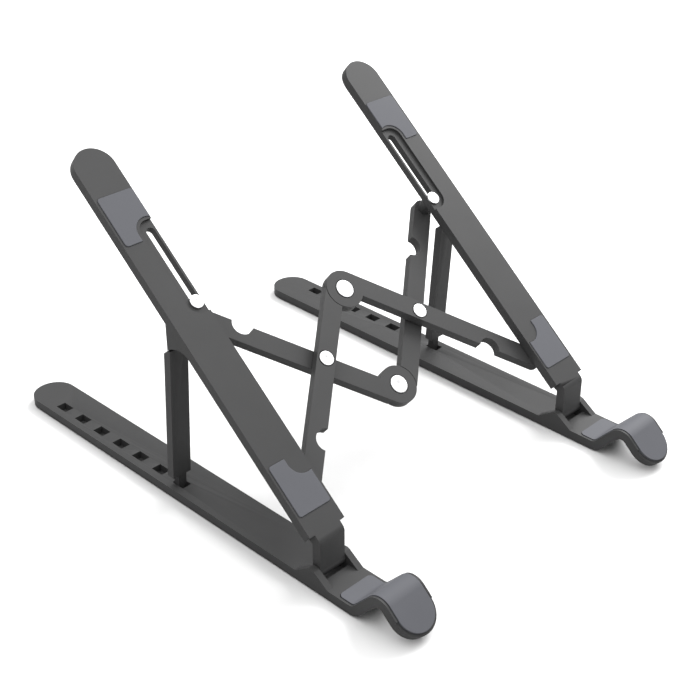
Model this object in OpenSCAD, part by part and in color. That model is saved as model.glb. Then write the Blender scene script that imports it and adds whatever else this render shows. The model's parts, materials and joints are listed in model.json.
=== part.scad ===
// Folding laptop stand: two mirrored side units joined by a four-link scissor.
// The frame: X across the stand, Y towards the back, Z up, millimetres.
// The middle plane of the stand is x = 0 and the feet stand on z = 0.

/* [Setting] */
// Rail hole that holds the prop's tooth, counted from the back
notch_used = 7; // [5:1:7]
// Angle of the scissor bars to the X axis (46 is fully open, 89.5 is folded)
bar_angle = 46; // [46:0.5:89.5]

/* [Rail] */
// Width of a base rail
rail_w = 22.2; // [21:0.1:24]
// Thickness of a base rail and of its lip
rail_t = 4.8; // [4:0.1:6]
// Y of the rounded back end
rail_back = 138; // [133:1:143]
// Number of holes for the prop's tooth
hole_count = 7; // [5:1:7]
// Distance from hole to hole
hole_pitch = 15.9; // [14:0.1:16]
// Length of a hole along the rail
hole_l = 7.6; // [7:0.1:8.5]
// Width of a hole across the rail
hole_w = 5.2; // [5:0.1:6]
// Offset of the holes from the rail's centre line, outwards
hole_out = 4.6; // [4:0.1:5]
// Y of the hole nearest the hinge
hole_y = 15.8; // [13:0.1:19]

/* [Lip] */
// Y where the lip starts to rise
lip_y = -102.5; // [-105:0.1:-101]
// Slope of the lip's rear face
lip_rise = 48; // [42:1:52]
// Slope of the lip's front tab
lip_fall = 42; // [36:1:46]
// Length of the straight rear face
lip_run = 12.9; // [10:0.1:15]
// Underside radius where the lip starts
lip_toe_r = 8.5; // [7:0.1:10]
// Underside radius of the crest
lip_crest_r = 3.1; // [2.5:0.1:4]
// Straight length of the front tab before its round end
tab_l = 6.4; // [4:0.1:8]

/* [Rail hinge] */
// Y of the hinge pin
hinge_y = -79.5; // [-83:0.1:-77]
// Height of the hinge pin above the floor
hinge_z = 7.5; // [7:0.1:9]
// Diameter of the hinge pin
hinge_d = 3; // [2.5:0.1:3.5]
// Thickness of an ear
ear_t = 3.3; // [3:0.1:4]
// Radius of an ear's top around the pin
ear_r = 3.8; // [3.4:0.1:5]
// Y of the front foot of an ear
ear_front_y = -89.7; // [-91:0.1:-88]
// Y of the back foot of an ear
ear_back_y = -69.5; // [-71:0.1:-67]

/* [Arm] */
// Width of an arm
arm_w = 21; // [20:0.1:22]
// Thickness of an arm
arm_t = 5; // [4.5:0.1:5.5]
// Length of an arm from its lower shoulders to its round top
arm_l = 201.7; // [196:0.1:206]
// Distance along the arm from the hinge pin to the lower shoulders
arm_setback = 13.3; // [12:0.1:15]
// Height of the arm's top face above the hinge pin
arm_rise = 14.7; // [14:0.1:16]
// Thickness of the tongue that runs down to the hinge pin
tongue_t = 4.6; // [4.2:0.1:5.4]
// Radius of the barrel at the tongue's lower end
barrel_r = 2.8; // [2.4:0.1:3]
// Width of the tongue
tongue_w = 15; // [14:0.1:15.2]
// Radius of the tongue's knee
knee_r = 4; // [1:0.1:4]

/* [Slot] */
// Offset of the slot and the fixed pivot from the arm's centre line, inwards
slot_in = 7.1; // [6.8:0.1:7.3]
// Width of the slot
slot_w = 4.6; // [4.5:0.1:5]
// Radius of the rebate around the slot
rebate_r = 5.9; // [5:0.1:6.2]
// Depth of the rebate
rebate_d = 1.3; // [1:0.1:1.6]
// Distance along the arm to the fixed pivot
pivot_s = 18.2; // [16:0.1:20]

/* [Linkage] */
// Length from a bar's outer pivot to its crossing
bar_outer = 67.8; // [66:0.1:68]
// Length from the crossing to the level of the eye
bar_inner = 41.4; // [40:0.1:42]
// Sideways offset of the eye from the bar's centre line
eye_offset = 5.05; // [5.05:0.05:5.3]
// Width of a bar
bar_w = 9.8; // [9:0.1:9.8]
// Thickness of a bar
bar_t = 4.9; // [4.6:0.1:5]
// Radius of a centre eye
eye_r = 9.95; // [9.5:0.05:10]
// Radius of the clearance bite near a bar's outer end
bite_r = 5.5; // [5.3:0.1:5.8]
// Gap between the arm and the upper bars
arm_gap = 0.5; // [0.4:0.1:0.6]
// Gap between the upper and the lower bars
level_gap = 0.9; // [0.7:0.1:1]

/* [Rivets] */
// Head diameter of the two centre rivets
big_head_d = 9.2; // [9:0.1:9.6]
// Head diameter of the crossing rivets
cross_head_d = 7.4; // [7:0.1:8]
// Head diameter of the slot rivets
slot_head_d = 6.8; // [6.4:0.1:8]
// Thickness of a head
head_t = 0.8; // [0.6:0.1:0.9]
// How far the heads stand out of the bars
head_proud = 0.25; // [0:0.05:0.3]
// Diameter of a shank
shank_d = 4.2; // [4:0.1:4.3]
// Diameter of the formed end of a rivet
tail_d = 7; // [6.5:0.1:7.5]

/* [Prop] */
// Width of a prop
prop_w = 10.5; // [9:0.1:10.6]
// Thickness of a prop
prop_t = 4.3; // [4:0.1:4.6]
// Length from the prop's pin to the middle of the rail's thickness
prop_reach = 86.2; // [86:0.1:86.6]
// Offset of the prop behind its pin
prop_back = 3.6; // [3.4:0.1:3.8]
// Distance along the arm to the prop's pin
prop_s = 105.6; // [105:0.1:106]
// Depth of the prop's pin below the arm's top face
prop_depth = 8.9; // [8.8:0.1:9.2]
// Diameter of the prop's pin
prop_pin_d = 2.4; // [2:0.1:2.6]
// Height of the prop's shoulders above the rail
shoulder_h = 6.2; // [4:0.1:7]
// Width of the tooth
tooth_w = 4.6; // [4:0.1:4.8]
// Thickness of the tooth
tooth_t = 3.4; // [3:0.1:4.2]
// How deep the tooth stands in its hole
tooth_depth = 2.7; // [2:0.1:3]

/* [Pads and feet] */
// Thickness of a silicone pad
pad_t = 1.2; // [1:0.1:1.5]
// Depth of the pads' seats
seat_d = 0.8; // [0.6:0.1:1]
// Inset of the lip pad from the lip's edges
lip_inset = 1.3; // [0.8:0.1:1.6]
// Y of the lip pad's back edge
lip_pad_y = -95; // [-96:0.1:-93]
// How far a foot stands out of the rail
foot_proud = 0.4; // [0.3:0.1:0.6]

/* [Hidden] */
$fn = 64;
eps = 0.01;
run_gap = 0.08;      // radial gap of a pin or shank in its hole
side_gap = 0.3;      // gap between sliding sides
lap_gap = 0.12;      // gap between the two halves of a lapped eye
rail_z = foot_proud; // underside of a rail
rail_top = rail_z + rail_t;

// the arm's plane, from the triangle of hinge pin, prop pin and tooth
tooth_back = 1.1;    // the tooth stands this far behind the middle of its hole
prop_dx = prop_s + arm_setback;
prop_dz = arm_rise - prop_depth;
prop_radius = norm([prop_dx, prop_dz]);
tooth_y = hole_y + (hole_count - notch_used) * hole_pitch + tooth_back;
tooth_dy = tooth_y - hinge_y;
tooth_dz = rail_z + rail_t / 2 - hinge_z;
tooth_radius = norm([tooth_dy, tooth_dz]);
reach = norm([prop_reach, prop_back]);
tri = acos((prop_radius ^ 2 + tooth_radius ^ 2 - reach ^ 2) / (2 * prop_radius * tooth_radius));
tilt = tri + atan2(tooth_dz, tooth_dy) - atan2(prop_dz, prop_dx);
arm_y = hinge_y + arm_setback * cos(tilt) - arm_rise * sin(tilt);
arm_z = hinge_z + arm_setback * sin(tilt) + arm_rise * cos(tilt);
function arm_pt(s, n) = [arm_y + s * cos(tilt) - n * sin(tilt), arm_z + s * sin(tilt) + n * cos(tilt)];
prop_pin = arm_pt(prop_s, -prop_depth);
prop_lean = atan2(tooth_y - prop_pin[0], prop_pin[1] - rail_z - rail_t / 2) - asin(prop_back / reach);

// the scissor in the arm's plane
column_x = (bar_outer + bar_inner) * cos(bar_angle) + eye_offset * sin(bar_angle);
cross_x = bar_inner * cos(bar_angle) + eye_offset * sin(bar_angle);
cross_s = pivot_s + bar_outer * sin(bar_angle);
eye_rise = bar_inner * sin(bar_angle) - eye_offset * cos(bar_angle);
slot_s = pivot_s + 2 * bar_outer * sin(bar_angle);
slot_low = pivot_s + 2 * bar_outer * sin(46) - 0.2;
slot_high = pivot_s + 2 * bar_outer + 0.2;
unit_x = column_x + slot_in;
upper_n = -arm_t - arm_gap;
lower_n = upper_n - bar_t - level_gap;
half_t = (bar_t - lap_gap) / 2;
boss_d = shank_d + 2.8; // spacing collar around a shank

// ---- helpers ----
module mirrored() {
    mirror([1, 0, 0]) children();
}

module left_side() {
    translate([-unit_x, 0, 0]) children();
}

// local x stays across, y runs up the arm, z is the arm's normal
module on_arm() {
    translate([0, arm_y, arm_z]) rotate([tilt, 0, 0]) children();
}

// extrudes a side profile, drawn as (y, z), across the stand
module across(w) {
    rotate([90, 0, 90]) linear_extrude(w, center = true) children();
}

module rounded(x0, x1, y0, y1, r) {
    translate([x0 + r, y0]) square([x1 - x0 - 2 * r, y1 - y0]);
    translate([x0, y0 + r]) square([x1 - x0, y1 - y0 - 2 * r]);
    for (x = [x0 + r, x1 - r]) {
        for (y = [y0 + r, y1 - r]) translate([x, y]) circle(r);
    }
}

module stadium(r, y0, y1) {
    translate([-r, y0]) square([2 * r, y1 - y0]);
    for (y = [y0, y1]) translate([0, y]) circle(r);
}

function arc(c, r, a0, a1, n) = [
    for (i = [0 : n]) c + r * [cos(a0 + (a1 - a0) * i / n), sin(a0 + (a1 - a0) * i / n)]
];

function reversed(list) = [for (i = [len(list) - 1 : -1 : 0]) list[i]];

module hole(d, z0, z1) {
    translate([0, 0, z0]) cylinder(d = d, h = z1 - z0);
}

// ---- rail ----
rim = lip_inset - 0.3;       // width of the plastic rim beside the pad
seat_w = rail_w - 2 * rim;   // width of the pad's seat
seat_y = lip_pad_y + 0.12;   // back edge of the pad's seat
toe_c = [lip_y, rail_z + lip_toe_r];
toe_end = toe_c - lip_toe_r * [sin(lip_rise), cos(lip_rise)];
crest_start = toe_end + lip_run * [-cos(lip_rise), sin(lip_rise)];
crest_c = crest_start - lip_crest_r * [sin(lip_rise), cos(lip_rise)];
tab_start = crest_c + lip_crest_r * [-sin(lip_fall), cos(lip_fall)];

// a line along the lip at the height d above its underside, from the platform's back
// end to the end of the tab's straight length
function lip_path(d, back_y) = concat(
    [[back_y, rail_z + d]],
    arc(toe_c, lip_toe_r - d, 270, 270 - lip_rise, 16),
    arc(crest_c, lip_crest_r + d, 90 - lip_rise, 90 + lip_fall, 30),
    [tab_start + tab_l * [-cos(lip_fall), -sin(lip_fall)] + d * [-sin(lip_fall), cos(lip_fall)]]
);

module lip_profile(d0, d1, back_y) {
    polygon(concat(lip_path(d0, back_y), reversed(lip_path(d1, back_y))));
}

// the tab's last straight length and its round end, seen square on
module end_plan(r, back) {
    translate([-r, 0]) square([2 * r, back]);
    intersection() {
        circle(r);
        translate([-r - 1, -r - 1]) square([2 * r + 2, r + 1.2]);
    }
}

module on_tab(d) {
    translate([0, tab_start[0], tab_start[1]]) rotate([lip_fall, 0, 0]) translate([0, -tab_l, d]) children();
}

// side profile of an ear: a round top with straight flanks down to the rail
module ear_profile() {
    pin = [hinge_y, hinge_z];
    front = [ear_front_y, rail_top];
    back = [ear_back_y, rail_top];
    fa = atan2(pin[1] - front[1], pin[0] - front[0]) + asin(ear_r / norm(pin - front));
    ba = atan2(pin[1] - back[1], back[0] - pin[0]) + asin(ear_r / norm(back - pin));
    flank = ear_r - 0.03;
    translate(pin) circle(ear_r);
    polygon([
        front, pin + flank * [-sin(fa), cos(fa)], pin + flank * [sin(ba), cos(ba)], back,
        [ear_back_y, rail_z], [ear_front_y, rail_z]
    ]);
}

pocket_w = rail_w - 2 * ear_t;
pocket_y0 = hinge_y - 4.3;
pocket_y1 = hinge_y + 4.4;
floor_t = 1.2;

front_foot = [-101.3, -91.6];
rear_foot = [118.5, 133];
foot_half_w = 7.5;
foot_t = 1.2;

module foot_plan(span, grow) {
    rounded(-foot_half_w - grow, foot_half_w + grow, span[0] - grow, span[1] + grow, 3 + grow);
}

module rail() {
    difference() {
        union() {
            translate([0, 0, rail_z]) linear_extrude(rail_t) {
                translate([-rail_w / 2, lip_y]) square([rail_w, rail_back - rail_w / 2 - lip_y]);
                translate([0, rail_back - rail_w / 2]) circle(rail_w / 2);
            }
            across(rail_w) lip_profile(0, rail_t, lip_y + 2);
            on_tab(0) linear_extrude(rail_t - seat_d) end_plan(rail_w / 2, 3);
            for (side = [-1, 1]) {
                translate([side * (rail_w - ear_t) / 2, 0, 0]) across(ear_t) ear_profile();
            }
        }
        for (i = [0 : hole_count - 1]) {
            translate([-hole_out - hole_w / 2, hole_y + i * hole_pitch - hole_l / 2, rail_z + 1]) {
                cube([hole_w, hole_l, rail_t + 2]);
            }
        }
        across(seat_w) lip_profile(rail_t - seat_d, rail_t + 1, seat_y - 3);
        translate([0, 0, rail_top - seat_d]) linear_extrude(seat_d + 1) {
            rounded(-seat_w / 2, seat_w / 2, seat_y - 7, seat_y, 2.5);
        }
        translate([-pocket_w / 2, pocket_y0, rail_z + floor_t]) {
            cube([pocket_w, pocket_y1 - pocket_y0, rail_t + 10]);
        }
        translate([0, hinge_y, hinge_z]) rotate([0, 90, 0]) {
            cylinder(d = hinge_d, h = rail_w - 2.4, center = true);
        }
        for (span = [front_foot, rear_foot]) {
            translate([0, 0, rail_z - 1]) linear_extrude(1 + foot_t - foot_proud) foot_plan(span, 0.1);
        }
    }
}

module foot(span) {
    linear_extrude(foot_t) foot_plan(span, 0);
}

module lip_pad() {
    bottom = rail_t - seat_d;
    half_w = rail_w / 2 - lip_inset;
    across(2 * half_w) lip_profile(bottom, bottom + pad_t, lip_pad_y - 3);
    on_tab(bottom) linear_extrude(pad_t) end_plan(half_w, 3);
    translate([0, 0, rail_z + bottom]) linear_extrude(pad_t) {
        rounded(-half_w, half_w, lip_pad_y - 7, lip_pad_y, 2.4);
    }
}

module hinge_pin() {
    translate([0, hinge_y, hinge_z]) rotate([0, 90, 0]) {
        cylinder(d = hinge_d, h = rail_w - 2.4, center = true);
    }
}

// ---- arm ----
prop_x = -arm_w / 2 + prop_w / 2 + 0.1;
head_w = 5;
cheek_t = (prop_w - head_w) / 2 - 0.25;

module slot_plan(r) {
    translate([slot_in, 0]) stadium(r, slot_low, slot_high);
}

module rebate_plan() {
    slot_plan(rebate_r);
    translate([slot_in, slot_low - rebate_r]) square([arm_w, slot_high - slot_low + 2 * rebate_r]);
}

// a quarter bite out of a pad's inner corner, around the point s on the slot's line
module pad_bite(s, r, to) {
    translate([slot_in, s]) circle(r);
    translate([slot_in, min(s - r, to)]) square([arm_w, 2 * r]);
    translate([slot_in - r, min(s, to)]) square([arm_w, abs(to - s)]);
}

module upper_pad_plan(grow) {
    difference() {
        rounded(-9.3 - grow, 10.2 + grow, 150.8 - grow, 176.8 + grow, 1.8 + grow);
        pad_bite(slot_high, 7.4 - grow, slot_high - 10);
    }
}

module lower_pad_plan(grow) {
    difference() {
        rounded(-9.3 - grow, 9.4 + grow, 9.4 - grow, 35 + grow, 1.5 + grow);
        translate([0, 64.4]) mirror([0, 1]) pad_bite(32.2, 7 - grow, 22.2);
    }
}

module tongue_profile() {
    back_y = hinge_y + tongue_t / 2;
    front_y = hinge_y - tongue_t / 2;
    top_z = function(y) arm_z + (y - arm_y) * tan(tilt);
    corner = [front_y, top_z(front_y)];
    turn = 90 - tilt;
    knee_c = [front_y + knee_r, corner[1] - knee_r * tan(turn / 2)];
    translate([hinge_y, hinge_z]) circle(barrel_r);
    polygon(concat([[front_y, hinge_z]], arc(knee_c, knee_r, 180, 90 + tilt, 12), [
        arm_pt(4, 0), arm_pt(4, -arm_t), arm_pt(1, -arm_t - 1),
        [back_y, arm_pt(-1, -arm_t)[1] - 1], [back_y, hinge_z]
    ]));
}

// the two cheeks under the arm that hold the prop's pin
module cheek_profile() {
    under = function(y) arm_pt(0, -arm_t)[1] + (y - arm_pt(0, -arm_t)[0]) * tan(tilt);
    rear = prop_pin[0] + 3.5;
    front = prop_pin[0] - 11.4;
    polygon([
        [rear, prop_pin[1] - 5.7], [rear, under(rear) + 1], [front, under(front) + 1], [front, under(front)],
        [prop_pin[0] - 8.6, prop_pin[1] - 3.1], [prop_pin[0] - 5.8, prop_pin[1] - 2.6],
        [prop_pin[0] - 2.3, prop_pin[1] - 3], [prop_pin[0] + 0.8, prop_pin[1] - 4.1]
    ]);
}

module arm() {
    difference() {
        union() {
            on_arm() translate([0, 0, -arm_t]) linear_extrude(arm_t) {
                translate([-arm_w / 2, 0]) square([arm_w, arm_l - arm_w / 2]);
                translate([0, arm_l - arm_w / 2]) circle(arm_w / 2);
            }
            across(tongue_w) tongue_profile();
            for (side = [-1, 1]) {
                translate([prop_x + side * (prop_w - cheek_t) / 2, 0, 0]) across(cheek_t) cheek_profile();
            }
        }
        on_arm() {
            translate([0, 0, -arm_t - 1]) linear_extrude(arm_t + 2) slot_plan(slot_w / 2);
            translate([0, 0, -rebate_d]) linear_extrude(rebate_d + 1) rebate_plan();
            translate([0, 0, -seat_d]) linear_extrude(seat_d + 1) {
                upper_pad_plan(0.1);
                lower_pad_plan(0.1);
            }
            translate([slot_in, pivot_s, 0]) hole(shank_d, -arm_t - 1, -arm_t + 3);
        }
        translate([0, hinge_y, hinge_z]) rotate([0, 90, 0]) {
            cylinder(d = hinge_d + 2 * run_gap, h = rail_w, center = true);
        }
        translate([prop_x, prop_pin[0], prop_pin[1]]) rotate([0, 90, 0]) {
            cylinder(d = prop_pin_d, h = prop_w - 1.8, center = true);
        }
    }
}

module upper_pad() {
    on_arm() translate([0, 0, -seat_d]) linear_extrude(pad_t) upper_pad_plan(0);
}

module lower_pad() {
    on_arm() translate([0, 0, -seat_d]) linear_extrude(pad_t) lower_pad_plan(0);
}

// ---- prop: local -z runs down the prop from its pin ----
module on_prop() {
    translate([prop_x, prop_pin[0], prop_pin[1]]) rotate([prop_lean, 0, 0]) children();
}

module prop() {
    front = prop_back - prop_t / 2;
    rear = prop_back + prop_t / 2;
    top = -6;
    foot_z = -prop_reach + rail_t / 2 - tooth_depth;
    shoulder = -prop_reach + rail_t / 2 + shoulder_h;
    chamfer = 2.7;
    boss_r = prop_pin_d / 2 + 1.3;
    on_prop() difference() {
        union() {
            across(prop_w) polygon([
                [front, top], [rear - chamfer, top], [rear, top - chamfer], [rear, shoulder], [front, shoulder]
            ]);
            across(head_w) {
                circle(boss_r);
                polygon([[-boss_r, 0], [boss_r, 0], [rear - chamfer, top - 1], [front, top - 1], [front, top]]);
            }
            translate([-hole_out - prop_x - tooth_w / 2, prop_back - tooth_t / 2, foot_z]) {
                cube([tooth_w, tooth_t, shoulder - foot_z + 1]);
            }
        }
        rotate([0, 90, 0]) cylinder(d = prop_pin_d + 2 * run_gap, h = prop_w, center = true);
    }
}

module prop_pin_piece() {
    on_prop() rotate([0, 90, 0]) cylinder(d = prop_pin_d, h = prop_w - 1.8, center = true);
}

// ---- links: drawn from the outer pivot along +x, with the eye offset towards +y ----
eye_x = bar_outer + bar_inner;

module link_plan() {
    difference() {
        union() {
            circle(bar_w / 2);
            translate([0, -bar_w / 2]) square([eye_x, bar_w]);
            translate([eye_x, eye_offset]) circle(eye_r);
        }
        translate([bar_outer - bar_inner, eye_offset]) circle(bite_r);
    }
}

// a bar between z = -bar_t and 0, whose eye keeps its upper or its lower half;
// the two gaps are those around the shanks at the outer pivot and at the crossing
module link_bar(eye_high, outer_gap, cross_gap) {
    eye_gap = eye_high ? 0 : run_gap;
    cut_z = eye_high ? -bar_t - 1 : -half_t - lap_gap;
    cut_h = eye_high ? bar_t + 1 - half_t : half_t + lap_gap + 1;
    difference() {
        translate([0, 0, -bar_t]) linear_extrude(bar_t) link_plan();
        translate([eye_x, eye_offset, cut_z]) cylinder(r = eye_r + side_gap, h = cut_h);
        translate([eye_x, eye_offset, 0]) hole(shank_d + 2 * eye_gap, -bar_t - 1, 1);
        translate([bar_outer, 0, 0]) hole(shank_d + 2 * cross_gap, -bar_t - 1, 1);
        hole(shank_d + 2 * outer_gap, -bar_t - 1, 1);
    }
}

module eye_recess() {
    translate([eye_x, eye_offset, 0]) hole(big_head_d + 0.9, head_proud - head_t, 1);
}

module pivot_link(eye_high) {
    difference() {
        union() {
            link_bar(eye_high, run_gap, 0);
            hole(boss_d, -half_t, arm_gap - 0.1);
        }
        hole(shank_d + 2 * run_gap, -bar_t - 1, 1);
        hole(tail_d + 0.4, -bar_t - 1, -bar_t + head_t);
        translate([bar_outer, 0, 0]) hole(cross_head_d + 0.9, head_proud - head_t, 1);
        if (eye_high) eye_recess();
    }
}

module slot_link(eye_high) {
    difference() {
        union() {
            link_bar(eye_high, 0, run_gap);
            hole(boss_d, -half_t, upper_n + arm_gap - lower_n - 0.15);
            translate([bar_outer, 0, 0]) hole(boss_d, -half_t, level_gap - 0.1);
        }
        hole(shank_d, -bar_t - 1, 20);
        translate([bar_outer, 0, 0]) hole(shank_d + 2 * run_gap, -bar_t - 1, 2);
        for (x = [0, bar_outer]) translate([x, 0, 0]) hole(tail_d + 0.4, -bar_t - 1, -bar_t + head_t);
        if (eye_high) eye_recess();
    }
}

// the left pivot link's place: its eye leans towards the front
module place_pivot() {
    on_arm() translate([-column_x, pivot_s, upper_n]) rotate(bar_angle) mirror([0, 1, 0]) children();
}

module place_slot() {
    on_arm() translate([-column_x, slot_s, lower_n]) rotate(-bar_angle) children();
}

// ---- rivets: local z = 0 is the seat of the head ----
module rivet(head_d, z_tail, end_d) {
    hole(head_d, 0, head_t);
    hole(shank_d, z_tail, 0);
    hole(end_d, z_tail, z_tail + head_t - 0.15);
}

module at_scissor(x, s, n) {
    on_arm() translate([x, s, n]) children();
}

module cross_rivet() {
    bottom = lower_n - bar_t + 0.05;
    seat = upper_n + head_proud - head_t;
    at_scissor(-cross_x, cross_s, seat) rivet(cross_head_d, bottom - seat, tail_d);
}

module slot_rivet() {
    seat = -rebate_d + 0.08;
    at_scissor(-column_x, slot_s, seat) rivet(slot_head_d, lower_n - bar_t + 0.05 - seat, tail_d);
}

module pivot_rivet() {
    bottom = upper_n - bar_t + 0.05;
    at_scissor(-column_x, pivot_s, 0) {
        hole(shank_d, bottom, -arm_t + 2.9);
        hole(tail_d, bottom, bottom + head_t - 0.1);
    }
}

// its formed end lies just under the eye
module centre_rivet(s, n) {
    under = head_t - head_proud - bar_t;
    at_scissor(0, s, n + head_proud - head_t) {
        hole(big_head_d, 0, head_t);
        hole(shank_d, under - 0.8, 0);
        hole(big_head_d - 1, under - 0.8, under - 0.1);
    }
}

// ---- the nodes ----
plastic = "#4a4a4b";
silicone = "#77787d";
steel = "#d8d8da";

module left_rail() { color(plastic) left_side() rail(); }
module right_rail() { color(plastic) mirrored() left_side() rail(); }
module left_lip_pad() { color(silicone) left_side() lip_pad(); }
module right_lip_pad() { color(silicone) mirrored() left_side() lip_pad(); }
module left_front_foot() { color(silicone) left_side() foot(front_foot); }
module right_front_foot() { color(silicone) mirrored() left_side() foot(front_foot); }
module left_rear_foot() { color(silicone) left_side() foot(rear_foot); }
module right_rear_foot() { color(silicone) mirrored() left_side() foot(rear_foot); }
module left_hinge_pin() { color(steel) left_side() hinge_pin(); }
module right_hinge_pin() { color(steel) mirrored() left_side() hinge_pin(); }
module left_arm() { color(plastic) left_side() arm(); }
module right_arm() { color(plastic) mirrored() left_side() arm(); }
module left_upper_pad() { color(silicone) left_side() upper_pad(); }
module right_upper_pad() { color(silicone) mirrored() left_side() upper_pad(); }
module left_lower_pad() { color(silicone) left_side() lower_pad(); }
module right_lower_pad() { color(silicone) mirrored() left_side() lower_pad(); }
module left_prop() { color(plastic) left_side() prop(); }
module right_prop() { color(plastic) mirrored() left_side() prop(); }
module left_prop_pin() { color(steel) left_side() prop_pin_piece(); }
module right_prop_pin() { color(steel) mirrored() left_side() prop_pin_piece(); }
module left_pivot_link() { color(plastic) place_pivot() pivot_link(false); }
module right_pivot_link() { color(plastic) mirrored() place_pivot() pivot_link(true); }
module left_slot_link() { color(plastic) place_slot() slot_link(true); }
module right_slot_link() { color(plastic) mirrored() place_slot() slot_link(false); }
module left_pivot_rivet() { color(steel) pivot_rivet(); }
module right_pivot_rivet() { color(steel) mirrored() pivot_rivet(); }
module left_slot_rivet() { color(steel) slot_rivet(); }
module right_slot_rivet() { color(steel) mirrored() slot_rivet(); }
module left_cross_rivet() { color(steel) cross_rivet(); }
module right_cross_rivet() { color(steel) mirrored() cross_rivet(); }
module rear_centre_rivet() { color(steel) centre_rivet(cross_s + eye_rise, upper_n); }
module front_centre_rivet() { color(steel) centre_rivet(cross_s - eye_rise, lower_n); }

left_rail();
right_rail();
left_lip_pad();
right_lip_pad();
left_front_foot();
right_front_foot();
left_rear_foot();
right_rear_foot();
left_hinge_pin();
right_hinge_pin();
left_arm();
right_arm();
left_upper_pad();
right_upper_pad();
left_lower_pad();
right_lower_pad();
left_prop();
right_prop();
left_prop_pin();
right_prop_pin();
left_pivot_link();
right_pivot_link();
left_slot_link();
right_slot_link();
left_pivot_rivet();
right_pivot_rivet();
left_slot_rivet();
right_slot_rivet();
left_cross_rivet();
right_cross_rivet();
rear_centre_rivet();
front_centre_rivet();
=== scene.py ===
import json
import math

import bpy
import bmesh
from mathutils import Matrix, Vector

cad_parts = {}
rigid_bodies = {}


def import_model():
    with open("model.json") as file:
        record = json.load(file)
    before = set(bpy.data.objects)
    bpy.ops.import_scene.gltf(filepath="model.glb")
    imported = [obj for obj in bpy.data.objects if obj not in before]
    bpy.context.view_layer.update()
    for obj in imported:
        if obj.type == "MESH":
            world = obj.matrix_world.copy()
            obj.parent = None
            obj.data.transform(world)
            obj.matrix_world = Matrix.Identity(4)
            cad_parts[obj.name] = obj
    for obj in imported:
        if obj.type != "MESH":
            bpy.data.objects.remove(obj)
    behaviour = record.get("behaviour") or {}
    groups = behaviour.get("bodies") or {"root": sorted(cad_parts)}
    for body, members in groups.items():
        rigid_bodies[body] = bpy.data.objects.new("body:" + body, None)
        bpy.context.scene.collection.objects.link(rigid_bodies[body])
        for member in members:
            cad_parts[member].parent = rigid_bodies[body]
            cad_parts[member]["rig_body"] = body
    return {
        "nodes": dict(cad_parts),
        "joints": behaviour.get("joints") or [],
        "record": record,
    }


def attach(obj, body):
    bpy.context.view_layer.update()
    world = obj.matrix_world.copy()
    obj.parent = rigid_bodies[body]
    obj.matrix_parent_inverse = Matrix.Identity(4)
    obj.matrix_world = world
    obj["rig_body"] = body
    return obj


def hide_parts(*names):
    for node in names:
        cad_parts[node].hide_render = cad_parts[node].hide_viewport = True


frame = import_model()
nodes = frame["nodes"]
record = frame["record"]
joints = {j["name"]: j for j in frame["joints"]}


def save_size():
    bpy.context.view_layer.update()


save_size()

# the scissor's pivots all stand along the arms' normal
TILT_AXIS = Vector(joints["spread"]["axis"]).normalized()
SLOT = {p["node"]: p["material_slot"] for p in record["subparts"]}


# ---------------------------------------------------------------- materials
# part of a noise's 0 to 1 that is stretched over a tint or a roughness
NOISE_LO, NOISE_HI = 0.3, 0.7
# the wave texture's radians per unit of length at scale 1
WAVE_RATE = 20


def new_material(name):
    mat = bpy.data.materials.new(name)
    mat.use_nodes = True
    tree = mat.node_tree
    tree.nodes.clear()
    out = tree.nodes.new("ShaderNodeOutputMaterial")
    bsdf = tree.nodes.new("ShaderNodeBsdfPrincipled")
    tree.links.new(bsdf.outputs["BSDF"], out.inputs["Surface"])
    return mat, tree, bsdf


def object_coords(tree):
    return tree.nodes.new("ShaderNodeTexCoord").outputs["Object"]


def add_noise(tree, coords, scale, detail, rough=0.5):
    n = tree.nodes.new("ShaderNodeTexNoise")
    n.inputs["Scale"].default_value = scale
    n.inputs["Detail"].default_value = detail
    n.inputs["Roughness"].default_value = rough
    tree.links.new(coords, n.inputs["Vector"])
    return n.outputs["Fac"]


def add_tint(tree, bsdf, value, dark, light):
    ramp = tree.nodes.new("ShaderNodeValToRGB")
    low, high = ramp.color_ramp.elements
    low.position, high.position = NOISE_LO, NOISE_HI
    low.color, high.color = (*dark, 1), (*light, 1)
    tree.links.new(value, ramp.inputs["Fac"])
    tree.links.new(ramp.outputs["Color"], bsdf.inputs["Base Color"])


def add_roughness(tree, bsdf, value, lo, hi):
    m = tree.nodes.new("ShaderNodeMapRange")
    m.inputs["From Min"].default_value = NOISE_LO
    m.inputs["From Max"].default_value = NOISE_HI
    m.inputs["To Min"].default_value = lo
    m.inputs["To Max"].default_value = hi
    tree.links.new(value, m.inputs["Value"])
    tree.links.new(m.outputs["Result"], bsdf.inputs["Roughness"])


def add_bump(tree, bsdf, height, strength, distance):
    b = tree.nodes.new("ShaderNodeBump")
    b.inputs["Strength"].default_value = strength
    b.inputs["Distance"].default_value = distance
    tree.links.new(height, b.inputs["Height"])
    tree.links.new(b.outputs["Normal"], bsdf.inputs["Normal"])


def scaled(shade, factor):
    return [c * factor for c in shade]


def textured_plastic(name, shade, rough):
    mat, tree, bsdf = new_material(name)
    at = object_coords(tree)
    grain = add_noise(tree, at, 3600, 3, 0.6)
    broad = add_noise(tree, at, 35, 3)
    add_tint(tree, bsdf, broad, scaled(shade, 0.95), scaled(shade, 1.05))
    add_roughness(tree, bsdf, grain, rough - 0.05, rough + 0.06)
    bsdf.inputs["Specular IOR Level"].default_value = 0.1
    add_bump(tree, bsdf, grain, 0.28, 0.00008)
    return mat


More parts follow.
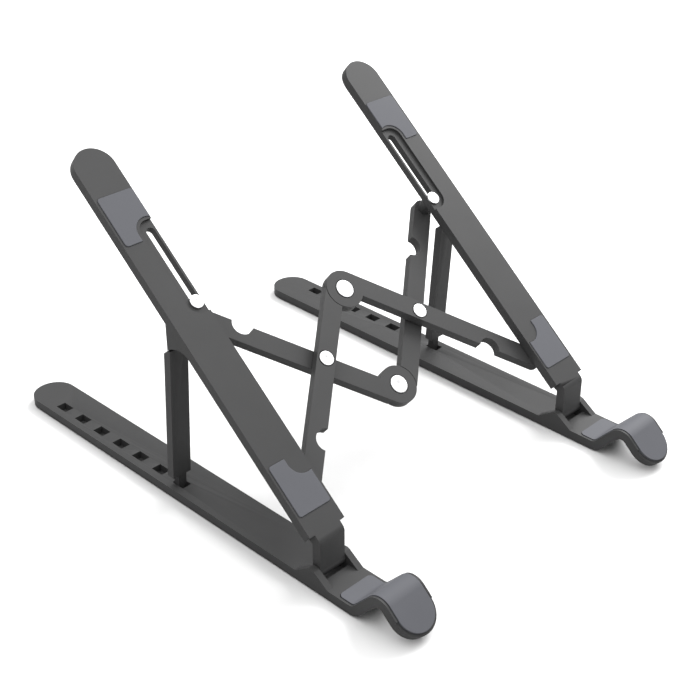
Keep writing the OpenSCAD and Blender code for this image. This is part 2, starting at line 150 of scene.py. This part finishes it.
def silicone(name, shade):
    mat, tree, bsdf = new_material(name)
    at = object_coords(tree)
    fine = add_noise(tree, at, 5200, 2)
    broad = add_noise(tree, at, 60, 2)
    add_tint(tree, bsdf, broad, scaled(shade, 0.97), scaled(shade, 1.03))
    add_roughness(tree, bsdf, broad, 0.6, 0.68)
    bsdf.inputs["Specular IOR Level"].default_value = 0.12
    add_bump(tree, bsdf, fine, 0.12, 0.00004)
    return mat


def plated(name, shade, rough, ridge):
    """Turned metal; ridge is the width of one turned ring, half of their pitch."""
    mat, tree, bsdf = new_material(name)
    at = object_coords(tree)
    fine = add_noise(tree, at, 900, 2)
    add_tint(tree, bsdf, fine, scaled(shade, 0.97), shade)
    bsdf.inputs["Metallic"].default_value = 1.0
    add_roughness(tree, bsdf, fine, rough - 0.04, rough + 0.04)
    rings = tree.nodes.new("ShaderNodeTexWave")
    rings.wave_type = "RINGS"
    rings.rings_direction = "Z"
    rings.inputs["Scale"].default_value = 1 / ridge / WAVE_RATE * math.pi
    tree.links.new(at, rings.inputs["Vector"])
    add_bump(tree, bsdf, rings.outputs["Fac"], 0.25, 0.00004)
    return mat


MATERIALS = {
    "body": textured_plastic("black_abs", (0.036, 0.036, 0.0363), 0.5),
    "silicone": silicone("grey_silicone", (0.07, 0.0715, 0.0795)),
    "rubber_foot": silicone("foot_rubber", (0.03, 0.03, 0.031)),
    "rivet": plated("rivet_plate", (0.46, 0.46, 0.464), 0.5, 0.0007),
    "pin": plated("pin_steel", (0.62, 0.62, 0.63), 0.35, 0.0009),
}


# ---------------------------------------------------------------- pieces
# width of the rounded edges, in metres
BEVELS = {"body": 0.00035, "silicone": 0.0003, "rubber_foot": 0.0003}
# large concave faces fold when their edges are rounded, so these nodes' faces
# are cut up first; those in SHARP_MITER also need sharp outer corners
SHARP_MITER = {"left_arm", "right_arm", "right_slot_link"}
CUT_UP = SHARP_MITER | {"left_prop", "right_prop"}
MERGE_DISTANCE = 2e-6
FLAT_ANGLE = math.radians(0.6)
BEVEL_ANGLE = math.radians(34)
SHARP_ANGLE = math.radians(32)


def paint(obj, material):
    obj.data.materials.clear()
    obj.data.materials.append(material)


def clean_mesh(obj, cut_up):
    """Joins flat faces, then cuts those with more than four corners up if asked."""
    bm = bmesh.new()
    bm.from_mesh(obj.data)
    bmesh.ops.remove_doubles(bm, verts=bm.verts, dist=MERGE_DISTANCE)
    bmesh.ops.dissolve_limit(
        bm, angle_limit=FLAT_ANGLE, verts=bm.verts, edges=bm.edges
    )
    if cut_up:
        bmesh.ops.triangulate(bm, faces=[f for f in bm.faces if len(f.verts) > 4])
    bm.to_mesh(obj.data)
    bm.free()
    for p in obj.data.polygons:
        p.use_smooth = True


def round_edges(obj, width, miter):
    m = obj.modifiers.new("edge", "BEVEL")
    m.width = width
    m.segments = 2
    m.limit_method = "ANGLE"
    m.angle_limit = BEVEL_ANGLE
    m.harden_normals = True
    m.use_clamp_overlap = True
    m.loop_slide = False
    m.miter_outer = miter


def mark_sharp(obj):
    for e in obj.data.edges:
        e.use_edge_sharp = False
    bm = bmesh.new()
    bm.from_mesh(obj.data)
    for e in bm.edges:
        if len(e.link_faces) == 2 and e.calc_face_angle(0) > SHARP_ANGLE:
            e.smooth = False
    bm.to_mesh(obj.data)
    bm.free()


def dress(node, slot):
    src = nodes[node]
    obj = bpy.data.objects.new(node + "_skin", src.data.copy())
    bpy.context.scene.collection.objects.link(obj)
    paint(obj, MATERIALS[slot])
    clean_mesh(obj, node in CUT_UP)
    round_edges(obj, BEVELS[slot], "MITER_SHARP" if node in SHARP_MITER else "MITER_ARC")
    mark_sharp(obj)
    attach(obj, src["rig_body"])
    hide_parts(node)


for node, obj in sorted(nodes.items()):
    if SLOT[node] in BEVELS:
        dress(node, SLOT[node])
    elif SLOT[node] == "pin":
        paint(obj, MATERIALS["pin"])


# ---------------------------------------------------------------- rivets
# turned discs with a soft edge and a shallow dished middle, sizes in metres
TURN_STEPS = 96        # points around a turned piece
ON_AXIS = 1e-9         # a profile point nearer the axis than this is on it
HEAD_BAND = 0.0005     # the CAD's points this near the top belong to the head
TAIL_BAND = 0.0002     # and those this near the bottom to the tail
SHANK_MIN = 0.0012     # no shank is thinner than this radius
SHANK_SLACK = 0.0001   # tolerance when picking the shank's points
HEAD_MIN = 0.0003      # no head is thinner than this
HEAD_USUAL = 0.0008    # a head's thickness where the CAD shows no seat
HEAD_EDGE = 0.00014    # radius of the head's rounded edge
EDGE_STEPS = 5         # steps around that edge
# the dish: share of the head's radius, and depth below the top
DISH = [(0, 0.00008), (0.16, 0.00007), (0.2, 0.00001), (0.8, 0)]
TAIL_NECK = 0.0007     # height where the shank ends
TAIL_TOP = 0.0006      # height of the tail's upper edge
TAIL_CHAMFER = 0.0001


def ring(bm, r, z):
    if r < ON_AXIS:
        return [bm.verts.new((0, 0, z))]
    turns = [2 * math.pi * k / TURN_STEPS for k in range(TURN_STEPS)]
    return [bm.verts.new((r * math.cos(t), r * math.sin(t), z)) for t in turns]


def lathe(name, profile):
    bm = bmesh.new()
    rows = [ring(bm, r, z) for r, z in profile]
    for a, b in zip(rows, rows[1:]):
        for k in range(TURN_STEPS):
            k2 = (k + 1) % TURN_STEPS
            if len(a) == 1:
                bm.faces.new((a[0], b[k2], b[k]))
            elif len(b) == 1:
                bm.faces.new((a[k], a[k2], b[0]))
            else:
                bm.faces.new((a[k], a[k2], b[k2], b[k]))
    bmesh.ops.recalc_face_normals(bm, faces=bm.faces)
    mesh = bpy.data.meshes.new(name)
    bm.to_mesh(mesh)
    bm.free()
    for p in mesh.polygons:
        p.use_smooth = True
    return bpy.data.objects.new(name, mesh)


def middle(values):
    return (min(values) + max(values)) / 2


def rivet_axis(points):
    """The point of a rivet's axis at height 0 along the arms' normal."""
    flat = [p - p.dot(TILT_AXIS) * TILT_AXIS for p in points]
    side = Vector((1, 0, 0))
    up = TILT_AXIS.cross(side)
    a = middle([p.dot(side) for p in flat])
    b = middle([p.dot(up) for p in flat])
    return side * a + up * b


def heights_and_radii(points, origin):
    """Each point's height along the arms' normal and its distance from the axis."""
    pairs = []
    for p in points:
        d = p - origin
        h = d.dot(TILT_AXIS)
        pairs.append((h, (d - h * TILT_AXIS).length))
    return pairs


def rivet_profile(pairs, top, low):
    head_r = max(r for h, r in pairs if h > top - HEAD_BAND)
    shank_r = min(r for h, r in pairs if r > SHANK_MIN)
    tail_r = max(r for h, r in pairs if h < low + TAIL_BAND)
    seats = [
        h for h, r in pairs if r < shank_r + SHANK_SLACK and h < top - HEAD_MIN
    ]
    seat = max(seats or [top - HEAD_USUAL])
    profile = [(head_r * share, top - depth) for share, depth in DISH]
    for k in range(EDGE_STEPS + 1):
        t = math.radians(90 - 90 * k / EDGE_STEPS)
        profile.append((
            head_r - HEAD_EDGE + HEAD_EDGE * math.cos(t),
            top - HEAD_EDGE + HEAD_EDGE * math.sin(t),
        ))
    return profile + [
        (head_r, seat), (shank_r, seat),
        (shank_r, low + TAIL_NECK), (tail_r, low + TAIL_TOP),
        (tail_r, low + TAIL_CHAMFER), (tail_r - TAIL_CHAMFER, low), (0, low),
    ]


def rivet(node):
    points = [v.co for v in nodes[node].data.vertices]
    heights = [p.dot(TILT_AXIS) for p in points]
    centre = rivet_axis(points)
    pairs = heights_and_radii(points, centre)
    obj = lathe(node + "_turned", rivet_profile(pairs, max(heights), min(heights)))
    bpy.context.scene.collection.objects.link(obj)
    turn = TILT_AXIS.to_track_quat("Z", "Y").to_matrix().to_4x4()
    obj.matrix_world = Matrix.Translation(centre) @ turn
    obj.data.materials.append(MATERIALS["rivet"])
    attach(obj, nodes[node]["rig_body"])
    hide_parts(node)


for node in sorted(nodes):
    if SLOT[node] == "rivet":
        if "pivot" in node:
            paint(nodes[node], MATERIALS["rivet"])
        else:
            rivet(node)


# ---------------------------------------------------------------- stage
FLOOR_SIZE = 120
FLOOR_DROP = 0.0002    # keeps the floor clear of the feet's faces
FLOOR_SHADE = 0.56
# the dome: height from 0, the horizon, to 1, overhead, and brightness
DOME_LOW = (0.3, 0.3)
DOME_HIGH = (0.9, 2.8)
KEY_PLACE, KEY_AIM = Vector((1.15, 0.1, 0.85)), Vector((0, 0, 0.05))
KEY_SIZE, KEY_POWER = 1.1, 38

bpy.ops.mesh.primitive_plane_add(size=FLOOR_SIZE, location=(0, 0, -FLOOR_DROP))
floor = bpy.context.object
floor.name = "floor"
mat, tree, bsdf = new_material("floor_pale")
bsdf.inputs["Base Color"].default_value = (FLOOR_SHADE,) * 3 + (1,)
bsdf.inputs["Roughness"].default_value = 0.9
bsdf.inputs["Specular IOR Level"].default_value = 0.1
floor.data.materials.append(mat)

# a soft dome: bright overhead, dim towards the horizon
world = bpy.data.worlds.new("studio")
bpy.context.scene.world = world
world.use_nodes = True
wt = world.node_tree
sky = wt.nodes["Background"]
sky.inputs["Strength"].default_value = 1.0
way = wt.nodes.new("ShaderNodeTexCoord")
sep = wt.nodes.new("ShaderNodeSeparateXYZ")
dome = wt.nodes.new("ShaderNodeValToRGB")
dome.color_ramp.interpolation = "EASE"
for stop, (height, shade) in zip(dome.color_ramp.elements, (DOME_LOW, DOME_HIGH)):
    stop.position = height
    stop.color = (shade, shade, shade, 1)
wt.links.new(way.outputs["Generated"], sep.inputs["Vector"])
wt.links.new(sep.outputs["Z"], dome.inputs["Fac"])
wt.links.new(dome.outputs["Color"], sky.inputs["Color"])
bpy.context.scene.view_settings.view_transform = "Standard"

key_data = bpy.data.lights.new("key", "AREA")
key_data.shape = "DISK"
key_data.size = KEY_SIZE
key_data.energy = KEY_POWER
key = bpy.data.objects.new("key", key_data)
bpy.context.scene.collection.objects.link(key)
key.location = KEY_PLACE
key.rotation_euler = (KEY_AIM - KEY_PLACE).to_track_quat("-Z", "Y").to_euler()

# ---------------------------------------------------------------- camera
# these seven numbers come from a least squares fit of the stand's points and
# edges to the photograph
LENS = 69.0
AZ, EL, DIST = math.radians(-45.542), math.radians(30.292), 0.6612
TARGET = Vector((-0.00009, -0.00752, 0.05043))

cam_data = bpy.data.cameras.new("camera")
cam_data.sensor_width = 36
cam_data.lens = LENS
cam_data.clip_start = 0.01
cam = bpy.data.objects.new("camera", cam_data)
bpy.context.scene.collection.objects.link(cam)
# AZ 0 looks from the front (-Y); negative angles look from the left (-X)
back = Vector((math.sin(AZ) * math.cos(EL), -math.cos(AZ) * math.cos(EL), math.sin(EL)))
cam.location = TARGET + DIST * back
cam.rotation_euler = back.to_track_quat("Z", "Y").to_euler()
bpy.context.scene.camera = cam

save_size()
